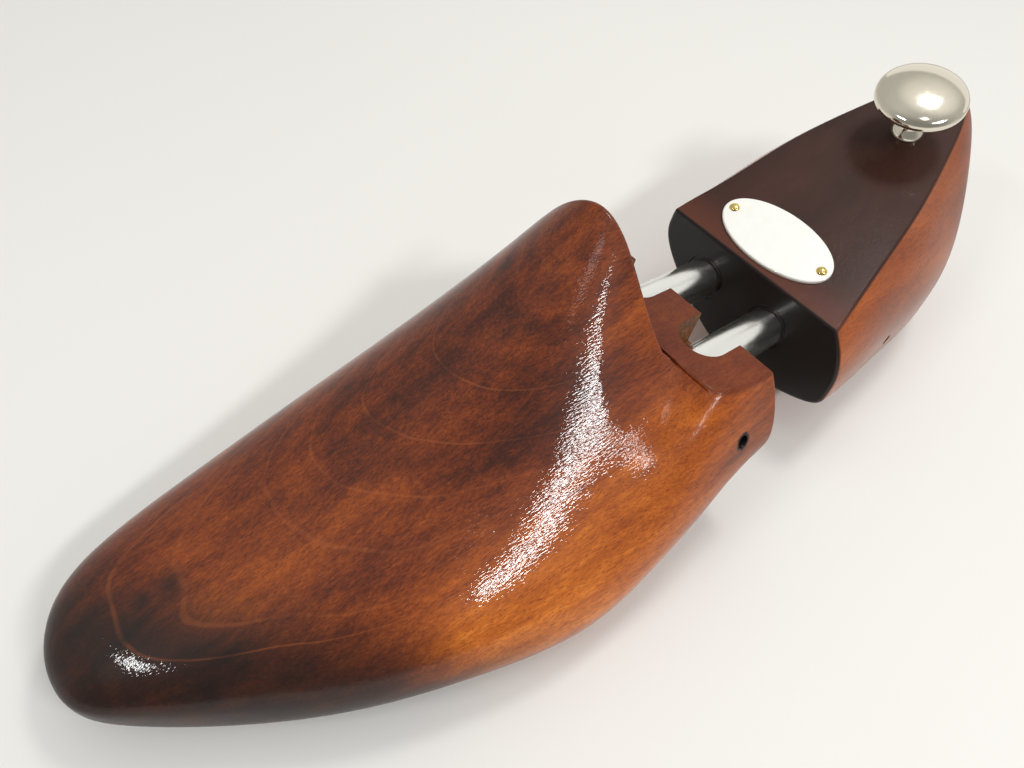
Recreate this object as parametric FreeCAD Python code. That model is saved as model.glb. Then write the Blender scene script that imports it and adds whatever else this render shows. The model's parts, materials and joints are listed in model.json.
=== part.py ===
"""Left-foot shoe tree: a wooden forepart and a wooden heel block on two sprung steel tubes.

Row frame, in millimetres: +X from toe to heel, +Y to the inner (big-toe) side, +Z up.
The origin is on the floor, at the middle of the flat seat under the heel block.
"""
import FreeCAD, Part
import math
import os

from FreeCAD import Placement, Rotation, Vector

os.makedirs("parts", exist_ok=True)

# --- driving dimensions ------------------------------------------------------------------

TUBE_PITCH = 11.0  # the tubes slope down towards the heel by this angle
HOLES_AT = Vector(-55.0, 0.0, 30.0)  # midway between the tube holes, on the heel's front face
TUBE_SPACING = 25.2
TUBE_R = 6.0
TUBE_WALL = 1.0
TUBE_FRONT = -53.9  # tube ends, measured along the tubes from the heel's front face
TUBE_BACK = 42.0
TRAVEL = 22.0  # how far the heel block slides towards the forepart

BORE_R = 7.0
BORE_DEPTH = 80.0
SOCKET_R = 6.05
SOCKET_END = -54.2

LEDGE_X = -31.3  # rear face of the forepart's ledge
INSTEP_X = -54.3  # rear face of the instep
SHELF_Z = 13.1  # ledge top and heel front edge, above the tube axis
NOTCH_R = 7.0
NOTCH_CENTRE = -39.4
NOTCH_FLOOR = 2.5
KERF = 0.9

TOP_RISE = 25.0  # the heel's flat top rises by this angle from the tubes

PIN_R = 1.75
PIN_HOLE_R = 1.8
FORE_PIN_X = -45.0
HEEL_PIN_X = 34.0
PIN_INNER_END = 22.0
FORE_PIN_START = -35.0
HEEL_PIN_START = -34.0
SLOT_GAP = 0.3

BUSH_LENGTH = 16.0
BUSH_RECESS = 0.6
BUSH_BORE_R = 6.06
BUSH_R = 6.96

SEAT_FLANGE = 1.5
SEAT_SPIGOT = 5.0
SEAT_NOSE = 4.0
WIRE_R = 0.6
COIL_R = 5.2
COILS = 9

FORE_ROUND = 1.2  # sanded edges of the wood
HEEL_ROUND = 1.0

KNOB_U = 72.5  # knob axis on the heel's top, from its front edge
KNOB_Y = 2.0
KNOB_R = 13.5
KNOB_RIM = 14.5
DOME_RISE = 4.2
FOOT_R = 5.1
NECK_R = 3.1
STEM_HEIGHT = 10.5
BACK_R = 12.75
BACK_RISE = 3.4
SHEET = 0.75
SCREW_R = 1.95
SCREW_HOLE_R = 2.0
SCREW_DEPTH = 22.0
SCREW_HEAD_R = 3.6
SCREW_HEAD = 2.0

PLATE_U = 12.4
PLATE_Y = 1.9
PLATE_HALF_LENGTH = 19.5
PLATE_HALF_WIDTH = 10.2
PLATE_THICK = 1.0
PLATE_ROUND = 0.5
PLATE_PIN_OFFSET = 16.7
PLATE_PIN_R = 0.95
PLATE_PIN_HOLE_R = 1.0
PLATE_PIN_LENGTH = 7.0
PLATE_PIN_HEAD_R = 1.6
PLATE_PIN_HEAD = 0.75

# Cross-sections, toe to heel: x, then (y, z) of the outer side, inner side, ridge and sole,
# then how full each quarter is: outer upper, inner upper, outer lower, inner lower.
FORE_TIP = (-259.0, 20.0, 16.0)
FORE_SECTIONS = [
    (-259.0, (12.5, 15.5), (27.0, 17.0), (21.0, 18.0), (22.0, 10.0), (0.58, 0.55, 0.62, 0.62)),
    (-252.0, (5.0, 15.5), (40.0, 17.0), (21.5, 24.5), (21.0, 5.0), (0.57, 0.55, 0.62, 0.62)),
    (-233.0, (-9.5, 13.0), (45.5, 17.0), (20.0, 29.0), (16.0, 1.5), (0.56, 0.55, 0.62, 0.62)),
    (-210.0, (-26.5, 24.0), (47.5, 18.0), (15.0, 33.0), (10.0, 0.0), (0.55, 0.55, 0.62, 0.62)),
    (-183.0, (-37.5, 24.5), (48.0, 21.0), (11.0, 41.5), (5.0, -0.5), (0.51, 0.55, 0.62, 0.62)),
    (-155.0, (-46.0, 20.5), (46.0, 26.0), (8.0, 52.5), (1.0, -0.5), (0.55, 0.55, 0.62, 0.60)),
    (-133.0, (-44.5, 26.0), (43.5, 33.0), (5.5, 62.5), (-3.0, 2.0), (0.55, 0.55, 0.60, 0.50)),
    (-113.0, (-43.0, 33.0), (41.0, 39.0), (8.0, 73.0), (-7.0, 6.0), (0.55, 0.55, 0.55, 0.35)),
    (-93.0, (-39.0, 34.0), (39.5, 43.0), (14.5, 83.0), (-10.0, 10.0), (0.55, 0.55, 0.45, 0.20)),
    (-69.0, (-41.0, 41.0), (21.5, 45.0), (22.5, 75.5), (-12.0, 12.5), (0.50, 0.55, 0.40, 0.12)),
]
# Behind the toe the outer upper quarter dips beside the instep and rises to a shoulder that
# meets the ledge: control points (y, z) for the dip and the shoulder, keyed by x.
SHOULDERS = {
    -210.0: ((-3.0, 33.5), (-17.5, 29.5)),
    -183.0: ((-10.5, 38.5), (-26.5, 34.0)),
    -155.0: ((-17.5, 41.5), (-33.0, 33.5)),
    -133.0: ((-23.0, 46.0), (-32.5, 34.5)),
    -113.0: ((-17.0, 46.5), (-31.0, 51.5)),
    -93.0: ((-6.0, 49.0), (-26.5, 67.0)),
    -69.0: ((5.0, 61.5), (-16.5, 57.0)),
}
HEEL_SECTIONS = [
    (-69.0, (-38.0, 24.0), (33.0, 43.0), (0.5, 55.5), (-8.0, 15.0), (0.42, 0.42, 0.40, 0.25)),
    (-50.0, (-39.5, 23.0), (30.5, 40.0), (1.5, 56.0), (-7.0, 11.5), (0.42, 0.42, 0.45, 0.30)),
    (-27.0, (-36.5, 21.0), (34.0, 30.0), (3.5, 62.5), (-3.0, 2.0), (0.41, 0.41, 0.55, 0.50)),
    (-3.0, (-36.0, 20.0), (37.0, 24.0), (4.5, 68.0), (0.0, -1.0), (0.36, 0.36, 0.62, 0.62)),
    (21.0, (-31.5, 20.0), (33.5, 22.0), (4.5, 70.5), (1.0, -1.0), (0.31, 0.31, 0.62, 0.62)),
    (41.0, (-20.0, 22.0), (25.5, 24.0), (4.0, 70.0), (1.0, 0.0), (0.37, 0.37, 0.62, 0.62)),
    (54.0, (-9.0, 27.0), (14.0, 28.0), (4.0, 58.5), (1.0, 12.0), (0.48, 0.48, 0.62, 0.62)),
]
HEEL_TIP = (54.0, 1.0, 35.0)

X_AXIS = Vector(1, 0, 0)
Y_AXIS = Vector(0, 1, 0)
Z_AXIS = Vector(0, 0, 1)
SIDES = {"left": -TUBE_SPACING / 2, "right": TUBE_SPACING / 2}

TUBE_FRAME = Placement(HOLES_AT, Rotation(Y_AXIS, TUBE_PITCH))
TOP_FRAME = TUBE_FRAME * Placement(Vector(0, 0, SHELF_Z), Rotation(Y_AXIS, -TOP_RISE))


# --- helpers -----------------------------------------------------------------------------


def placed(shape, frame):
    """The shape moved from a local frame into the row frame."""
    moved = shape.copy()
    moved.Placement = frame * moved.Placement
    return moved


def box(low, high):
    """A box between two corners."""
    size = [b - a for a, b in zip(low, high)]
    return Part.makeBox(*size, Vector(*low))


def rod_x(radius, start, end, y, z=0.0):
    """A round bar along local X."""
    return Part.makeCylinder(radius, end - start, Vector(start, y, z), X_AXIS)


def rod_y(radius, start, end, x):
    """A round bar along local Y, crossing the tube axes."""
    return Part.makeCylinder(radius, end - start, Vector(x, start, 0), Y_AXIS)


def rod_z(radius, low, high, x, y):
    """A round bar along local Z."""
    return Part.makeCylinder(radius, high - low, Vector(x, y, low), Z_AXIS)


def turned(profile, curve=()):
    """A solid of revolution about local Z from (radius, height) points.

    The optional curve runs smoothly from the profile's last point back to its first.
    """
    points = [Vector(r, 0, z) for r, z in profile]
    if curve:
        path = Part.BSplineCurve()
        bend = [points[-1]] + [Vector(r, 0, z) for r, z in curve] + [points[0]]
        path.interpolate(bend)
        edges = [Part.makePolygon(points), path.toShape()]
        wire = Part.Wire([edge for part in edges for edge in part.Edges])
    else:
        wire = Part.makePolygon(points + points[:1])
    return Part.Face(wire).revolve(Vector(), Z_AXIS, 360)


def in_plane(edge, frame, axis, value):
    """Whether the whole edge lies where the frame's coordinate equals the value."""
    if edge.Degenerated:
        return False
    first, last = edge.ParameterRange
    inverse = frame.inverse()
    steps = [first + (last - first) * step / 4 for step in range(5)]
    return all(abs(inverse.multVec(edge.valueAt(step))[axis] - value) < 0.02 for step in steps)


def outline(body, planes):
    """The edges of the body that lie in any of the planes, each one once."""
    found = []
    for edge in body.Edges:
        if any(in_plane(edge, *plane) for plane in planes):
            if not any(edge.isSame(other) for other in found):
                found.append(edge)
    return found


def section_poles(x, outer, inner, ridge, sole, fullness, shoulder=None):
    """Twelve control points round one cross-section, starting at the sole."""
    upper_out, upper_in, lower_out, lower_in = fullness
    quarters = [(sole, inner, lower_in), (ridge, inner, upper_in)]
    quarters += [(ridge, outer, upper_out), (sole, outer, lower_out)]
    (low_in, high_in, high_out, low_out) = [
        (
            (flat[0] + k * (side[0] - flat[0]), flat[1]),
            (side[0], side[1] + k * (flat[1] - side[1])),
        )
        for flat, side, k in quarters
    ]
    high_out = shoulder or high_out
    ring = [sole, low_in[0], low_in[1], inner, high_in[1], high_in[0]]
    ring += [ridge, high_out[0], high_out[1], outer, low_out[1], low_out[0]]
    return [Vector(x, y, z) for y, z in ring]


def carved(sections, tip, tip_first, shoulders):
    """A smooth solid through control sections, closed to a rounded tip at one end."""
    rows = [section_poles(*section, shoulders.get(section[0])) for section in sections]
    tip_row = [Vector(*tip)] * len(rows[0])
    rows = [tip_row] + rows if tip_first else rows + [tip_row]
    spans = len(rows) - 3
    around = len(rows[0])
    surface = Part.BSplineSurface()
    surface.buildFromPolesMultsKnots(
        rows,
        [4] + [1] * (spans - 1) + [4],
        [1] * (around + 1),
        list(range(spans + 1)),
        list(range(around + 1)),
        False,
        True,
        3,
        3,
    )
    skin = surface.toShape()
    end = surface.uIso(spans if tip_first else 0)
    cap = Part.Face(Part.Wire(end.toShape()))
    shell = Part.Shell([skin, cap])
    shell.sewShape()
    solid = Part.Solid(shell)
    if solid.Volume < 0:
        solid.reverse()
    return solid


# --- wooden forepart ---------------------------------------------------------------------


def make_forepart():
    body = carved(FORE_SECTIONS, FORE_TIP, True, SHOULDERS)
    body = body.cut(box((-300, -80, -20), (0, 80, 0)))
    far = (200, 100, 200)
    body = body.cut(placed(box((LEDGE_X, -100, -100), far), TUBE_FRAME))
    body = body.cut(placed(box((INSTEP_X, -100, SHELF_Z), far), TUBE_FRAME)).Solids[0]
    planes = [(TUBE_FRAME, 0, INSTEP_X), (TUBE_FRAME, 0, LEDGE_X), (TUBE_FRAME, 2, SHELF_Z)]
    inner_corner = (TUBE_FRAME, 0, INSTEP_X), (TUBE_FRAME, 2, SHELF_Z)
    rims = outline(body, planes)
    rims = [edge for edge in rims if not all(in_plane(edge, *plane) for plane in inner_corner)]
    body = body.makeFillet(FORE_ROUND, rims)
    kerf = box((INSTEP_X, -100, SHELF_Z - KERF), (INSTEP_X + KERF, 100, SHELF_Z))
    cuts = [kerf, rod_y(PIN_HOLE_R, -60, PIN_INNER_END + 0.5, FORE_PIN_X)]
    for y in SIDES.values():
        cuts.append(rod_x(SOCKET_R, SOCKET_END, 0, y))
        cuts.append(box((NOTCH_CENTRE, y - NOTCH_R, NOTCH_FLOOR), (0, y + NOTCH_R, 40)))
        cuts.append(rod_z(NOTCH_R, NOTCH_FLOOR, SHELF_Z + 0.5, NOTCH_CENTRE, y))
    for cut in cuts:
        body = body.cut(placed(cut, TUBE_FRAME))
    return body


# --- wooden heel block -------------------------------------------------------------------


def make_heel_block():
    body = carved(HEEL_SECTIONS, HEEL_TIP, False, {})
    body = body.cut(box((-100, -80, -20), (100, 80, 0)))
    body = body.cut(placed(box((-100, -100, -100), (0, 100, 200)), TUBE_FRAME))
    body = body.cut(placed(box((-100, -100, 0), (200, 100, 100)), TOP_FRAME)).Solids[0]
    body = body.makeFillet(HEEL_ROUND, outline(body, [(TUBE_FRAME, 0, 0), (TOP_FRAME, 2, 0)]))
    cuts = [rod_y(PIN_HOLE_R, -60, PIN_INNER_END + 0.5, HEEL_PIN_X)]
    cuts += [rod_x(BORE_R, -1, BORE_DEPTH, y) for y in SIDES.values()]
    for cut in cuts:
        body = body.cut(placed(cut, TUBE_FRAME))
    holes = [rod_z(SCREW_HOLE_R, -SCREW_DEPTH - 1, 1, KNOB_U, KNOB_Y)]
    for y in plate_pin_places().values():
        holes.append(rod_z(PLATE_PIN_HOLE_R, -PLATE_PIN_LENGTH, 1, PLATE_U, y))
    for hole in holes:
        body = body.cut(placed(hole, TOP_FRAME))
    return body


def plate_pin_places():
    """Where the two plate pins stand across the heel's top."""
    return {"left": PLATE_Y - PLATE_PIN_OFFSET, "right": PLATE_Y + PLATE_PIN_OFFSET}


# --- tubes, springs and cross pins, along the tube frame ---------------------------------


def make_tube(y):
    tube = rod_x(TUBE_R, TUBE_FRONT, TUBE_BACK, y)
    tube = tube.cut(rod_x(TUBE_R - TUBE_WALL, TUBE_FRONT, TUBE_BACK, y))
    tube = tube.cut(rod_y(PIN_HOLE_R, y - 10, y + 10, FORE_PIN_X))
    half = PIN_R + SLOT_GAP
    front = HEEL_PIN_X - TRAVEL
    tube = tube.cut(box((front, y - 10, -half), (HEEL_PIN_X, y + 10, half)))
    for x in (front, HEEL_PIN_X):
        tube = tube.cut(rod_y(half, y - 10, y + 10, x))
    return tube


def make_bush(y):
    end = BUSH_RECESS + BUSH_LENGTH
    return rod_x(BUSH_R, BUSH_RECESS, end, y).cut(rod_x(BUSH_BORE_R, BUSH_RECESS, end, y))


def make_spring_seat(y):
    face = TUBE_BACK + SEAT_FLANGE
    spigot = rod_x(TUBE_R - TUBE_WALL - 0.05, TUBE_BACK - SEAT_SPIGOT, TUBE_BACK, y)
    nose = rod_x(COIL_R - WIRE_R - 0.3, face, face + SEAT_NOSE, y)
    return rod_x(TUBE_R, TUBE_BACK, face, y).fuse([spigot, nose]).removeSplitter()


def make_spring(y):
    start = TUBE_BACK + SEAT_FLANGE + WIRE_R
    length = BORE_DEPTH - WIRE_R - start
    helix = Part.makeHelix(length / COILS, length, COIL_R)
    wire = Part.Wire(Part.makeCircle(WIRE_R, Vector(COIL_R, 0, 0), Y_AXIS))
    coil = Part.Wire(helix).makePipeShell([wire], True, True)
    return placed(coil, Placement(Vector(start, y, 0), Rotation(Z_AXIS, X_AXIS)))


# --- knob and name plate, on the heel's flat top -----------------------------------------


def make_stem():
    waist = [(4.6, 2.0), (3.5, 3.8), (NECK_R, 6.0), (3.6, 8.2)]
    hole = SCREW_R + 0.1
    outer = [(5.7, STEM_HEIGHT - 0.5), (5.7, STEM_HEIGHT), (hole, STEM_HEIGHT)]
    outer += [(hole, 0), (FOOT_R, 0), (FOOT_R, 0.9)]
    return turned(outer, waist)


def make_knob_back():
    hole = SCREW_R + 0.1
    low = STEM_HEIGHT
    high = low + BACK_RISE
    under = [(hole, low), (6.0, low), (BACK_R, high)]
    over = [(BACK_R, high + SHEET), (5.8, low + SHEET), (hole, low + SHEET)]
    return turned(under + over)


def make_dome():
    lip = STEM_HEIGHT + BACK_RISE - 0.2
    quarter = [math.radians(angle) for angle in (18, 36, 54, 72)]

    def arch(radius, rise):
        return [(radius * math.cos(a), KNOB_RIM + rise * math.sin(a)) for a in quarter]

    shell = turned(
        [(0, KNOB_RIM + DOME_RISE), (0, lip), (KNOB_R, lip), (KNOB_R, KNOB_RIM)],
        arch(KNOB_R, DOME_RISE),
    )
    inside_r = KNOB_R - SHEET + 0.05
    rise = DOME_RISE - SHEET
    hollow = turned(
        [(0, KNOB_RIM + rise), (0, lip - 1), (inside_r, lip - 1), (inside_r, KNOB_RIM)],
        arch(inside_r, rise),
    )
    return shell.cut(hollow)


def make_knob_screw():
    seat = STEM_HEIGHT + SHEET
    shank = [(0, -SCREW_DEPTH), (SCREW_R, 3 - SCREW_DEPTH), (SCREW_R, seat)]
    head = [(SCREW_HEAD_R, seat), (SCREW_HEAD_R, seat + SCREW_HEAD), (0, seat + SCREW_HEAD)]
    screw = turned(shank + head)
    slot = box((-5, -0.5, seat + 1), (5, 0.5, seat + 5))
    return screw.cut(slot)


def make_name_plate():
    oval = Part.Ellipse(Vector(), PLATE_HALF_LENGTH, PLATE_HALF_WIDTH).toShape()
    oval.rotate(Vector(), Z_AXIS, 90)
    plate = Part.Face(Part.Wire(oval)).extrude(Vector(0, 0, PLATE_THICK))
    rim = [edge for edge in plate.Edges if in_plane(edge, Placement(), 2, PLATE_THICK)]
    plate = plate.makeFillet(PLATE_ROUND, rim)
    plate.translate(Vector(PLATE_U, PLATE_Y, 0))
    for y in plate_pin_places().values():
        plate = plate.cut(rod_z(PLATE_PIN_HOLE_R, -1, PLATE_THICK + 1, PLATE_U, y))
    return plate


def make_plate_pin(y):
    top = PLATE_THICK + PLATE_PIN_HEAD
    tip = [(0, 0.5 - PLATE_PIN_LENGTH), (PLATE_PIN_R, 1.5 - PLATE_PIN_LENGTH)]
    head = [(PLATE_PIN_R, PLATE_THICK), (PLATE_PIN_HEAD_R, PLATE_THICK)]
    pin = turned([(0, top)] + tip + head, [(1.45, 1.25), (0.85, 1.6)])
    pin.translate(Vector(PLATE_U, y, 0))
    return pin


# --- assembly ----------------------------------------------------------------------------

parts = {
    "forepart": make_forepart(),
    "heel_block": make_heel_block(),
    "forepart_pin": placed(rod_y(PIN_R, FORE_PIN_START, PIN_INNER_END, FORE_PIN_X), TUBE_FRAME),
    "heel_pin": placed(rod_y(PIN_R, HEEL_PIN_START, PIN_INNER_END, HEEL_PIN_X), TUBE_FRAME),
    "name_plate": placed(make_name_plate(), TOP_FRAME),
}
for name, y in SIDES.items():
    parts["tube_" + name] = placed(make_tube(y), TUBE_FRAME)
    parts["guide_bush_" + name] = placed(make_bush(y), TUBE_FRAME)
    parts["spring_seat_" + name] = placed(make_spring_seat(y), TUBE_FRAME)
    parts["spring_" + name] = placed(make_spring(y), TUBE_FRAME)
for name, y in plate_pin_places().items():
    parts["plate_pin_" + name] = placed(make_plate_pin(y), TOP_FRAME)

KNOB_FRAME = TOP_FRAME * Placement(Vector(KNOB_U, KNOB_Y, 0), Rotation())
parts["knob_stem"] = placed(make_stem(), KNOB_FRAME)
parts["knob_back"] = placed(make_knob_back(), KNOB_FRAME)
parts["knob_dome"] = placed(make_dome(), KNOB_FRAME)
parts["knob_screw"] = placed(make_knob_screw(), KNOB_FRAME)

for name, shape in parts.items():
    solid = shape.Solids[0]
    if len(shape.Solids) != 1 or not solid.isValid() or solid.Volume <= 0:
        raise ValueError("bad solid: " + name)
    solid.exportStep("parts/" + name + ".step")
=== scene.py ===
import json
import math

import bpy
from mathutils import Matrix, Vector


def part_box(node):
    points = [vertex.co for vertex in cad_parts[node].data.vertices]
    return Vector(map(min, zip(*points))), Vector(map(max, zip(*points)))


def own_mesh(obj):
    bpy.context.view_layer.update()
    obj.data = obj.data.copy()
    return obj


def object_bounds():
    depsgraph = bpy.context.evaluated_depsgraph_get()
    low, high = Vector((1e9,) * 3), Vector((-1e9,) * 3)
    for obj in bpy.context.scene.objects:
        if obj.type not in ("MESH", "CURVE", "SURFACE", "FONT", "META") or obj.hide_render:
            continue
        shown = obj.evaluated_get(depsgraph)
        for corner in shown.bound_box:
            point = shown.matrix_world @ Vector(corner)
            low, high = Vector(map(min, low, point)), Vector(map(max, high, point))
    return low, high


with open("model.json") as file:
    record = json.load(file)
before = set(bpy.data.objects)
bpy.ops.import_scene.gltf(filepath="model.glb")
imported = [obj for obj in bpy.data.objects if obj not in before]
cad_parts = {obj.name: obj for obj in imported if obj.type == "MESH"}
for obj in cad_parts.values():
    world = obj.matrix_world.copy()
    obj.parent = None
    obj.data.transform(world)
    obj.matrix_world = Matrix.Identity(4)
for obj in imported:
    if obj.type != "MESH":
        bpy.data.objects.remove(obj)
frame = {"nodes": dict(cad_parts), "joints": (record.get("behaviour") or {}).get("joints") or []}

CAD_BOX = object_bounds()
NODES = frame["nodes"]

# --- places taken from the frame ---------------------------------------------------------

MM = 1000.0
SLIDE = frame["joints"][0]
TUBE_AXIS = Vector(SLIDE["axis"])
TUBE_UP = Vector((-TUBE_AXIS.z, 0.0, TUBE_AXIS.x))
HOLES_AT = Vector((-0.055, 0.0, 0.030))  # midway between the tube holes, on the heel's front
SHELF = 0.0131  # from the tube axes up to the ledge and to the heel's front edge
TOP_RISE = math.radians(25.0)  # the heel's top rises by this angle from the tubes
TOP_UP = TUBE_UP * math.cos(TOP_RISE) - TUBE_AXIS * math.sin(TOP_RISE)
TOP_AT = HOLES_AT + TUBE_UP * SHELF
TUBE_YS = [sum(corner.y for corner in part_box(n)) / 2 * MM for n in ("tube_left", "tube_right")]
LEDGE_TOP = SHELF * MM
NOTCH_R = 7.0  # in millimetres

# along the tubes from the heel's front face, in millimetres
INSTEP_WALL = -54.5
PIN_ALONG = -45.0
NOTCH_CENTRE = -39.4
LEDGE_END = -31.3

# centres in the row frame with a radius, in millimetres
KNOTS = [((-228.0, 19.5, 29.5), 6.0), ((-234.5, 20.5, 28.5), 3.5)]
THIN_COATS = [((-123.0, -24.0, 46.0), 13.0), ((-108.0, -29.0, 50.0), 9.0)]

# as above, with how much paler (or, below nothing, darker) the wood is there
PATCHES = [
    ((-216.0, 14.0, 33.0), 38.0, 0.16),
    ((-168.0, -32.0, 24.0), 42.0, 0.14),
    ((-190.0, -16.0, 34.0), 30.0, 0.07),
    ((-138.0, 6.0, 50.0), 36.0, -0.08),
    ((-98.0, -12.0, 55.0), 44.0, 0.18),
]


# --- node helpers ------------------------------------------------------------------------


class Graph:
    """A material's node tree, built by short calls that return output sockets."""

    def __init__(self, tree):
        self.tree = tree
        tree.nodes.clear()

    def node(self, kind, inputs=None, **settings):
        made = self.tree.nodes.new(kind)
        for name, value in settings.items():
            setattr(made, name, value)
        for name, value in (inputs or {}).items():
            self.feed(made.inputs[name], value)
        return made

    def feed(self, socket, value):
        if isinstance(value, bpy.types.NodeSocket):
            self.tree.links.new(value, socket)
        else:
            socket.default_value = value

    def math(self, operation, a, b=0.0, c=0.0):
        made = self.node("ShaderNodeMath", {0: a, 1: b, 2: c}, operation=operation)
        return made.outputs[0]

    def vector(self, operation, a, b=(0, 0, 0)):
        return self.node("ShaderNodeVectorMath", {0: a, 1: b}, operation=operation)

    def dot(self, a, b):
        return self.vector("DOT_PRODUCT", a, tuple(b)).outputs["Value"]

    def scaled(self, a, factors):
        return self.vector("MULTIPLY", a, factors).outputs[0]

    def smooth(self, value, low, high, start=0.0, end=1.0):
        """The value mapped smoothly from low..high to start..end, and clamped."""
        settings = {"Value": value, "From Min": low, "From Max": high, "To Min": start, "To Max": end}
        made = self.node("ShaderNodeMapRange", settings, interpolation_type="SMOOTHSTEP")
        return made.outputs["Result"]

    def noise(self, where, scale, detail, rough, distortion=0.0):
        settings = {"Vector": where, "Scale": scale, "Detail": detail, "Roughness": rough}
        settings["Distortion"] = distortion
        made = self.node("ShaderNodeTexNoise", settings, noise_dimensions="3D")
        return made.outputs["Fac"]

    def ramp(self, value, stops):
        made = self.node("ShaderNodeValToRGB", {"Fac": value})
        elements = made.color_ramp.elements
        while len(elements) < len(stops):
            elements.new(0.5)
        for element, (place, colour) in zip(elements, stops):
            element.position = place
            element.color = (*colour, 1.0)
        return made.outputs["Color"]

    def mix(self, amount, a, b):
        made = self.node("ShaderNodeMix", data_type="RGBA")
        self.feed(made.inputs["Factor"], amount)
        self.feed(made.inputs["A"], (*a, 1.0) if isinstance(a, tuple) else a)
        self.feed(made.inputs["B"], (*b, 1.0) if isinstance(b, tuple) else b)
        return made.outputs["Result"]

    def length(self, a, b):
        """The length of a flat vector with the parts a and b."""
        flat = self.node("ShaderNodeCombineXYZ", {0: a, 1: b}).outputs[0]
        return self.vector("LENGTH", flat).outputs["Value"]

    def near(self, where, centre, radius, amount):
        """The amount at a centre, falling smoothly to nothing at the radius."""
        distance = self.vector("DISTANCE", where, centre).outputs["Value"]
        return self.smooth(distance, radius, 0.0, 0.0, amount)

    def bump(self, height, strength, distance, normal=None):
        inputs = {"Height": height, "Strength": strength, "Distance": distance}
        if normal is not None:
            inputs["Normal"] = normal
        return self.node("ShaderNodeBump", inputs).outputs["Normal"]

    def place(self):
        """The point in the row frame at rest, in millimetres."""
        coordinates = self.node("ShaderNodeTexCoord").outputs["Object"]
        return self.scaled(coordinates, (MM, MM, MM))

    def surface(self, **inputs):
        named = {name.replace("_", " "): value for name, value in inputs.items()}
        shader = self.node("ShaderNodeBsdfPrincipled", named)
        out = self.node("ShaderNodeOutputMaterial")
        self.tree.links.new(shader.outputs[0], out.inputs["Surface"])


def material(name, build):
    made = bpy.data.materials.new(name)
    made.use_nodes = True
    build(Graph(made.node_tree))
    return made


def srgb(red, green, blue):
    """A linear colour from display values of 0 to 255."""
    return tuple((value / 255.0) ** 2.2 for value in (red, green, blue))


# --- wood --------------------------------------------------------------------------------

RING_LINES = (55.8, 57.5, 60.1, 62.6, 66.4, 71.5)  # heights of the fine pale growth lines
RING_FALL = 0.12  # the growth rings fall by this much per unit towards the toe
HOLE_RADII = (2.2, 2.9)  # the pin hole is painted dark, as shade, inside the first and wood outside the second
FRONT = HOLES_AT.dot(TUBE_AXIS) * MM  # the heel's front face, along the tubes
LEVEL = HOLES_AT.dot(TUBE_UP) * MM  # the tube axes, across the tubes


def wood_grain(g, where):
    """Fleck, pore and mottle patterns of every wooden face, drawn out along the grain."""
    fleck = g.noise(g.scaled(where, (0.40, 2.0, 2.0)), 1.0, 4.0, 0.65)
    pores = g.noise(g.scaled(where, (0.55, 3.6, 3.6)), 1.0, 2.0, 0.5)
    mottle = g.noise(g.scaled(where, (0.020, 0.080, 0.080)), 1.0, 5.0, 0.62, 0.5)
    return fleck, pores, mottle


def varnish(g, where, strength):
    """The fine ripple of varnish over open grain, drawn out along the grain."""
    ripple = g.noise(g.scaled(where, (0.5, 2.4, 2.4)), 1.0, 1.0, 0.5)
    return g.bump(ripple, strength, 0.0001)


def added(g, total, *terms):
    for term in terms:
        total = g.math("ADD", total, term)
    return total


def with_pores(g, colour, pores, strength, dark):
    """The colour with the open pores of the wood darkened."""
    pore = g.smooth(pores, 0.44, 0.33)
    return g.mix(g.math("MULTIPLY", pore, strength), colour, dark)


WOOD_TONES = [
    (0.00, (0.016, 0.0040, 0.0020)),
    (0.22, (0.055, 0.0095, 0.0025)),
    (0.38, (0.130, 0.0220, 0.0040)),
    (0.54, (0.225, 0.0440, 0.0055)),
    (0.72, (0.365, 0.0820, 0.0085)),
    (0.88, (0.500, 0.1280, 0.0130)),
    (1.00, (0.650, 0.1900, 0.0260)),
]
TORN_TONES = [(0.3, (0.050, 0.022, 0.011)), (0.7, (0.360, 0.135, 0.050))]
TOP_TONES = [(0.3, (0.028, 0.011, 0.008)), (0.7, (0.060, 0.022, 0.016))]
TOP_EDGE = (0.11, 0.032, 0.018)
FOREPART_PORE = (0.020, 0.005, 0.003)
HEEL_PORE = (0.03, 0.008, 0.004)
KNOT = (0.020, 0.006, 0.004)
# the toe tip's dark tone, also used as painted shade along the toe's low band by the floor
BURNISH_AND_SHADE = (0.0085, 0.0045, 0.0036)
RING_LINE = (0.36, 0.095, 0.022)
SAWN_LEDGE = (0.095, 0.022, 0.013)
# painted shade inside the cross pin's hole
PIN_HOLE_SHADE = (0.010, 0.005, 0.004)
HEEL_FRONT = (0.012, 0.010, 0.0095)


def forepart_tone(g, where, x, y, ring, fleck, mottle):
    """How pale the forepart is: its flank, its patches, its grain and its growth bands."""
    streak = g.noise(g.scaled(where, (0.06, 0.40, 0.40)), 1.0, 3.0, 0.55)
    bands = g.noise(g.node("ShaderNodeCombineXYZ", {0: ring}).outputs[0], 0.30, 2.0, 0.6)
    flank = g.math("MULTIPLY", g.smooth(y, -10.0, -34.0), g.smooth(x, -208.0, -178.0))
    flank = g.math("MULTIPLY", flank, g.smooth(x, -140.0, -80.0, 0.38, 0.14))
    return added(
        g,
        0.37,
        flank,
        *[g.near(where, *patch) for patch in PATCHES],
        g.math("MULTIPLY_ADD", mottle, 0.62, -0.31),
        g.math("MULTIPLY_ADD", bands, 0.36, -0.18),
        g.math("MULTIPLY_ADD", streak, 0.40, -0.20),
        g.math("MULTIPLY_ADD", fleck, 0.60, -0.30),
    )


def growth_lines(g, ring, mottle):
    lines = 0.0
    for height in RING_LINES:
        gap = g.math("ABSOLUTE", g.math("SUBTRACT", ring, height))
        lines = g.math("ADD", lines, g.smooth(gap, 0.13, 0.02))
    return g.math("MULTIPLY", lines, g.smooth(mottle, 0.35, 0.6, 0.07, 0.27))


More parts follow.
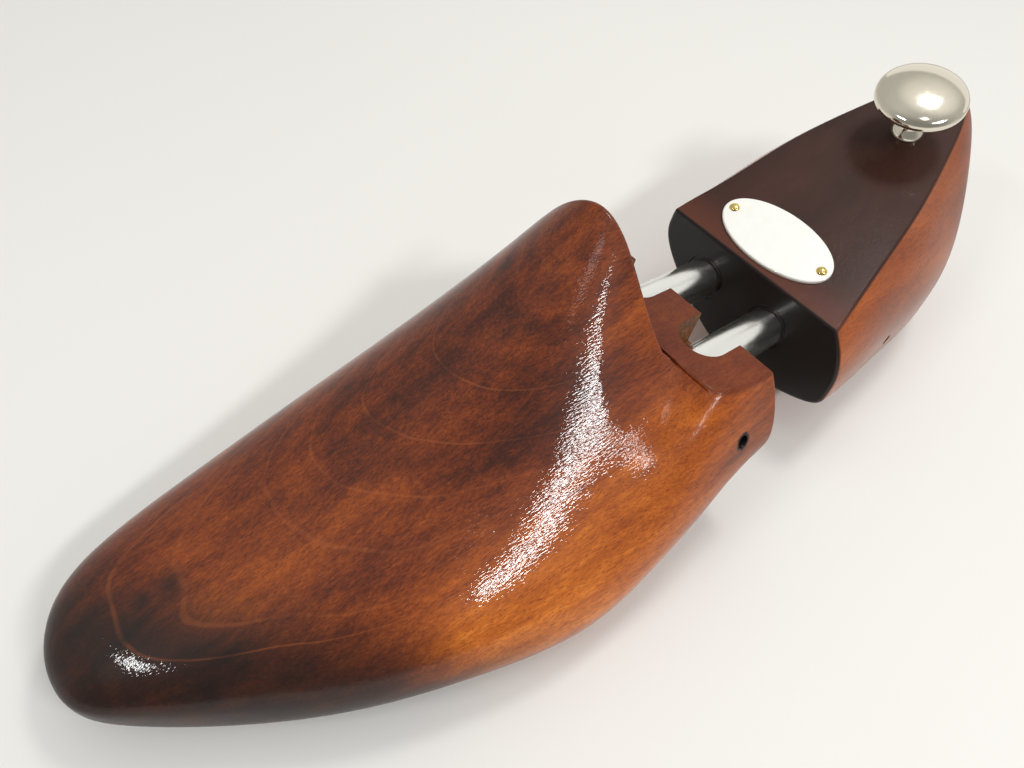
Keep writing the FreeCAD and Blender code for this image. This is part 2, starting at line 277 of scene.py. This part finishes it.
def torn_faces(g, along, above, y, behind):
    """The walls of the two notches, below the ledge's top, and the ledge's end."""
    ahead = g.math("MINIMUM", g.math("SUBTRACT", along, NOTCH_CENTRE), 0.0)
    bare = 0.0
    for tube_y in TUBE_YS:
        wall = g.length(ahead, g.math("SUBTRACT", y, tube_y))
        bare = g.math("MAXIMUM", bare, g.smooth(wall, NOTCH_R + 0.35, NOTCH_R + 0.1))
    low = g.smooth(above, LEDGE_TOP - 0.1, LEDGE_TOP - 0.5)
    bare = g.math("MULTIPLY", bare, g.math("MULTIPLY", behind, low))
    return g.math("MAXIMUM", bare, g.smooth(along, LEDGE_END - 0.6, LEDGE_END - 0.2))


def pin_hole_shade(g, along, above, fleck):
    """The hole of the cross pin, painted dark as shade, with an edge made ragged by the grain."""
    reach = g.length(g.math("SUBTRACT", along, PIN_ALONG), above)
    reach = g.math("ADD", reach, g.math("MULTIPLY_ADD", fleck, -3.0, 1.5))
    return g.smooth(reach, HOLE_RADII[1], HOLE_RADII[0])


def forepart_wood(g):
    where = g.place()
    x, y, z = g.node("ShaderNodeSeparateXYZ", {0: where}).outputs
    along = g.math("SUBTRACT", g.dot(where, TUBE_AXIS), FRONT)
    above = g.math("SUBTRACT", g.dot(where, TUBE_UP), LEVEL)
    fleck, pores, mottle = wood_grain(g, where)

    drift = g.noise(g.scaled(where, (0.012, 0.03, 0.03)), 1.0, 2.0, 0.5)
    ring = g.math("MULTIPLY_ADD", x, -RING_FALL, z)
    ring = g.math("ADD", ring, g.math("MULTIPLY_ADD", drift, 3.0, -1.5))
    colour = g.ramp(forepart_tone(g, where, x, y, ring, fleck, mottle), WOOD_TONES)
    colour = with_pores(g, colour, pores, 0.45, FOREPART_PORE)
    for centre, radius in KNOTS:
        colour = g.mix(g.near(where, centre, radius, 0.85), colour, KNOT)

    # the toe tip is darker, and the toe's low band along the floor is darkened as painted shade
    tip = g.smooth(g.math("MULTIPLY_ADD", y, 0.8, x), -204.0, -230.0)
    low_toe_shade = g.math("MULTIPLY", g.smooth(z, 27.0, 17.0), g.smooth(x, -150.0, -200.0))
    burnish_and_shade = g.math("MAXIMUM", tip, low_toe_shade)
    burnish_and_shade = g.math("MULTIPLY", burnish_and_shade, g.smooth(mottle, 0.25, 0.65, 1.0, 0.82))
    colour = g.mix(burnish_and_shade, colour, BURNISH_AND_SHADE)
    colour = g.mix(growth_lines(g, ring, mottle), colour, RING_LINE)

    # the sawn ledge is satin, its notches are bare torn grain and its pin hole is painted dark as
    # shade
    behind = g.smooth(along, INSTEP_WALL - 0.3, INSTEP_WALL + 0.3)
    shelf = g.math("MULTIPLY", behind, g.smooth(above, LEDGE_TOP - 1.1, LEDGE_TOP - 0.2))
    bare = torn_faces(g, along, above, y, behind)
    shaded_hole = pin_hole_shade(g, along, above, fleck)
    torn = g.noise(g.scaled(where, (1.2, 1.2, 0.5)), 1.0, 4.0, 0.7)
    colour = g.mix(g.math("MULTIPLY", shelf, 0.6), colour, SAWN_LEDGE)
    colour = g.mix(bare, colour, g.ramp(torn, TORN_TONES))
    colour = g.mix(shaded_hole, colour, PIN_HOLE_SHADE)

    dull = g.math("MAXIMUM", g.math("MAXIMUM", shelf, bare), shaded_hole)
    satin = g.math("MAXIMUM", dull, g.smooth(along, -72.0, -46.0, 0.0, 0.6))
    satin = g.math("MAXIMUM", satin, g.math("MULTIPLY", low_toe_shade, 0.6))
    for centre, radius in THIN_COATS:
        satin = g.math("MAXIMUM", satin, g.near(where, centre, radius, 0.95))
    g.surface(
        Base_Color=colour,
        Roughness=g.math("MULTIPLY_ADD", fleck, 0.25, 0.30),
        Normal=g.bump(torn, bare, 0.0006, g.bump(pores, 0.3, 0.0001)),
        Specular_IOR_Level=0.12,
        Coat_Weight=g.math("MULTIPLY_ADD", satin, -0.62, 0.7),
        Coat_Roughness=0.04,
        Coat_Normal=varnish(g, where, 0.46),
    )


def heel_wood(g):
    where = g.place()
    x = g.node("ShaderNodeSeparateXYZ", {0: where}).outputs["X"]
    along = g.math("SUBTRACT", g.dot(where, TUBE_AXIS), FRONT)
    height = g.math("SUBTRACT", g.dot(where, TOP_UP), TOP_AT.dot(TOP_UP) * MM)
    fleck, pores, mottle = wood_grain(g, where)
    tone = added(
        g,
        g.smooth(x, 0.0, 45.0, 0.60, 0.50),
        g.smooth(x, -20.0, -50.0, 0.0, 0.06),
        g.math("MULTIPLY_ADD", mottle, 0.60, -0.30),
        g.math("MULTIPLY_ADD", fleck, 0.45, -0.225),
    )
    colour = with_pores(g, g.ramp(tone, WOOD_TONES), pores, 0.4, HEEL_PORE)

    top = g.smooth(height, -0.8, -0.15)
    stain = g.math("MULTIPLY_ADD", mottle, 0.7, g.math("MULTIPLY", fleck, 0.3))
    edge = g.smooth(along, 14.0, 0.0, 0.0, 0.8)
    top_colour = g.mix(edge, g.ramp(stain, TOP_TONES), TOP_EDGE)
    colour = g.mix(top, colour, top_colour)
    front = g.smooth(along, 0.9, 0.2)
    colour = g.mix(front, colour, HEEL_FRONT)

    waxed = g.math("MULTIPLY", g.smooth(x, -5.0, 35.0, 1.0, 0.1), g.math("SUBTRACT", 1.0, top))
    g.surface(
        Base_Color=colour,
        Roughness=g.math("MULTIPLY_ADD", fleck, 0.25, 0.32),
        Normal=g.bump(pores, 0.3, 0.0001),
        Specular_IOR_Level=0.14,
        Coat_Weight=g.math("MULTIPLY_ADD", waxed, 0.5, 0.05),
        Coat_Roughness=0.1,
        Coat_Normal=varnish(g, where, 0.35),
    )


# --- metal, enamel and plastic -----------------------------------------------------------


def plain_metal(colour, roughness, scratch):
    def build(g):
        where = g.place()
        wear = g.noise(where, 0.9, 4.0, 0.6)
        fine = g.noise(where, 3.0, 2.0, 0.5)
        darker = tuple(part * 0.92 for part in colour)
        g.surface(
            Base_Color=g.mix(wear, darker, colour),
            Metallic=1.0,
            Roughness=g.math("MULTIPLY_ADD", wear, roughness, roughness * 0.5),
            Normal=g.bump(fine, scratch, 0.00002),
        )

    return build


def enamel(g):
    where = g.place()
    cloud = g.noise(where, 0.25, 3.0, 0.6)
    colour = g.mix(cloud, srgb(236, 236, 230), srgb(248, 248, 243))
    ripple = g.noise(where, 0.5, 2.0, 0.5)
    g.surface(
        Base_Color=colour,
        Roughness=0.35,
        Coat_Weight=1.0,
        Coat_Roughness=0.05,
        Coat_Normal=g.bump(ripple, 0.1, 0.0001),
    )


def black_plastic(g):
    where = g.place()
    fine = g.noise(where, 2.0, 3.0, 0.6)
    colour = g.mix(fine, srgb(16, 16, 17), srgb(30, 30, 31))
    g.surface(Base_Color=colour, Roughness=0.35, Normal=g.bump(fine, 0.3, 0.00005))


MATERIALS = {
    "forepart_wood": material("forepart_wood", forepart_wood),
    "heel_wood": material("heel_wood", heel_wood),
    "chrome": material("chrome", plain_metal((0.85, 0.85, 0.82), 0.22, 0.3)),
    "nickel": material("nickel", plain_metal((0.78, 0.73, 0.62), 0.12, 0.1)),
    "steel": material("steel", plain_metal((0.55, 0.54, 0.52), 0.3, 0.5)),
    "brass": material("brass", plain_metal((0.80, 0.62, 0.22), 0.18, 0.3)),
    "enamel": material("enamel", enamel),
    "black_plastic": material("black_plastic", black_plastic),
}

FINISHES = {
    "forepart": "forepart_wood",
    "heel_block": "heel_wood",
    "tube_left": "chrome",
    "tube_right": "chrome",
    "guide_bush_left": "black_plastic",
    "guide_bush_right": "black_plastic",
    "forepart_pin": "steel",
    "heel_pin": "steel",
    "spring_left": "steel",
    "spring_right": "steel",
    "spring_seat_left": "black_plastic",
    "spring_seat_right": "black_plastic",
    "name_plate": "enamel",
    "plate_pin_left": "brass",
    "plate_pin_right": "brass",
    "knob_stem": "nickel",
    "knob_back": "nickel",
    "knob_dome": "nickel",
    "knob_screw": "steel",
}

for name, finish in FINISHES.items():
    data = NODES[name].data
    data.materials.clear()
    data.materials.append(MATERIALS[finish])


def make_spring_close_up(spring):
    """Gives the spring a mesh of its own; its reach along the tubes is worked out but not used."""
    reach = [(spring.matrix_world @ v.co).dot(TUBE_AXIS) for v in spring.data.vertices]
    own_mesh(spring)


for name in ("spring_left", "spring_right"):
    make_spring_close_up(NODES[name])


# --- floor, light and camera -------------------------------------------------------------

OBJECT_CENTRE = (CAD_BOX[0] + CAD_BOX[1]) / 2
FLOOR_REACH = 3.0  # in metres, each way from the middle
CEILING = (10, 65)  # azimuth and elevation of the brightest patch of the room
DIM_SIDE = (222, 20)  # and of its dimmest
WHITE = (1.0, 1.0, 1.0)

# name, azimuth and elevation in degrees, distance, width and height in metres, power in
# watts, colour
LIGHTS = [
    ("window", -86, 48, 1.0, 0.32, 0.08, 3.7, WHITE),
    ("toe_window", 171, 43, 1.0, 0.26, 0.05, 1.5, WHITE),
    ("ceiling", *CEILING, 0.85, 0.16, 0.16, 1.6, (1.0, 0.985, 0.95)),
    ("backdrop", 8, 21, 2.4, 4.4, 1.2, 7.2, (1.0, 0.99, 0.97)),
    ("crest_window", -104, 77, 1.0, 0.12, 0.12, 0.20, WHITE),
]

# from the horizon up to the ceiling
ROOM_TONES = [
    (0.00, (0.62, 0.61, 0.58)),
    (0.35, (0.54, 0.53, 0.50)),
    (0.75, (0.56, 0.55, 0.52)),
    (0.95, (0.64, 0.63, 0.60)),
]

CAMERA_AT = (-0.2292, -0.0791, 0.2114)
CAMERA_LENS = 29.18
PICTURE_RIGHT = Vector((0.7633, -0.6412, 0.0793))
PICTURE_DOWN = Vector((-0.4774, -0.6425, -0.5994))


def paper(g):
    cloud = g.noise(g.place(), 0.004, 3.0, 0.5)
    colour = g.mix(cloud, (0.80, 0.79, 0.77), (0.84, 0.83, 0.815))
    g.surface(Base_Color=colour, Roughness=0.7)


def make_floor():
    mesh = bpy.data.meshes.new("floor")
    reach = FLOOR_REACH
    corners = [(-reach, -reach, 0), (reach, -reach, 0), (reach, reach, 0), (-reach, reach, 0)]
    mesh.from_pydata(corners, [], [(0, 1, 2, 3)])
    floor = bpy.data.objects.new("floor", mesh)
    floor.location.z = CAD_BOX[0].z
    bpy.context.scene.collection.objects.link(floor)
    mesh.materials.append(material("paper", paper))


def direction(azimuth, elevation):
    a, e = math.radians(azimuth), math.radians(elevation)
    return Vector((math.cos(a) * math.cos(e), math.sin(a) * math.cos(e), math.sin(e)))


def make_light(name, azimuth, elevation, distance, width, height, power, colour):
    light = bpy.data.lights.new(name, "AREA")
    light.shape = "RECTANGLE"
    light.size = width
    light.size_y = height
    light.energy = power
    light.color = colour
    lamp = bpy.data.objects.new(name, light)
    towards = direction(azimuth, elevation)
    lamp.location = OBJECT_CENTRE + towards * distance
    lamp.rotation_mode = "QUATERNION"
    lamp.rotation_quaternion = towards.to_track_quat("Z", "Y")
    bpy.context.scene.collection.objects.link(lamp)


def make_world():
    """A pale room: bright above the heel, dim low down beyond the toe."""
    world = bpy.data.worlds.new("studio")
    bpy.context.scene.world = world
    world.use_nodes = True
    g = Graph(world.node_tree)
    towards = g.node("ShaderNodeTexCoord").outputs["Generated"]
    height = g.node("ShaderNodeSeparateXYZ", {0: towards}).outputs["Z"]
    colour = g.ramp(height, ROOM_TONES)
    dim = g.smooth(g.dot(towards, direction(*DIM_SIDE)), 0.2, 0.85, 1.0, 0.5)
    glow = g.smooth(g.dot(towards, direction(*CEILING)), 0.86, 0.99, 0.0, 0.55)
    strength = g.math("ADD", dim, glow)
    shader = g.node("ShaderNodeBackground", {"Color": colour, "Strength": strength})
    out = g.node("ShaderNodeOutputWorld")
    g.tree.links.new(shader.outputs[0], out.inputs["Surface"])


def make_camera():
    camera = bpy.data.cameras.new("camera")
    camera.sensor_width = 36.0
    camera.lens = CAMERA_LENS
    camera.clip_start = 0.01
    camera.clip_end = 20.0
    rig = bpy.data.objects.new("camera", camera)
    forward = PICTURE_RIGHT.cross(PICTURE_DOWN).normalized()
    up = -PICTURE_DOWN.normalized()
    across = forward.cross(up).normalized()
    turn = Matrix((across, up, -forward)).transposed()
    rig.matrix_world = Matrix.Translation(CAMERA_AT) @ turn.to_4x4()
    bpy.context.scene.collection.objects.link(rig)
    bpy.context.scene.camera = rig


make_floor()
make_world()
for light_settings in LIGHTS:
    make_light(*light_settings)
make_camera()
bpy.context.scene.view_settings.view_transform = "Standard"
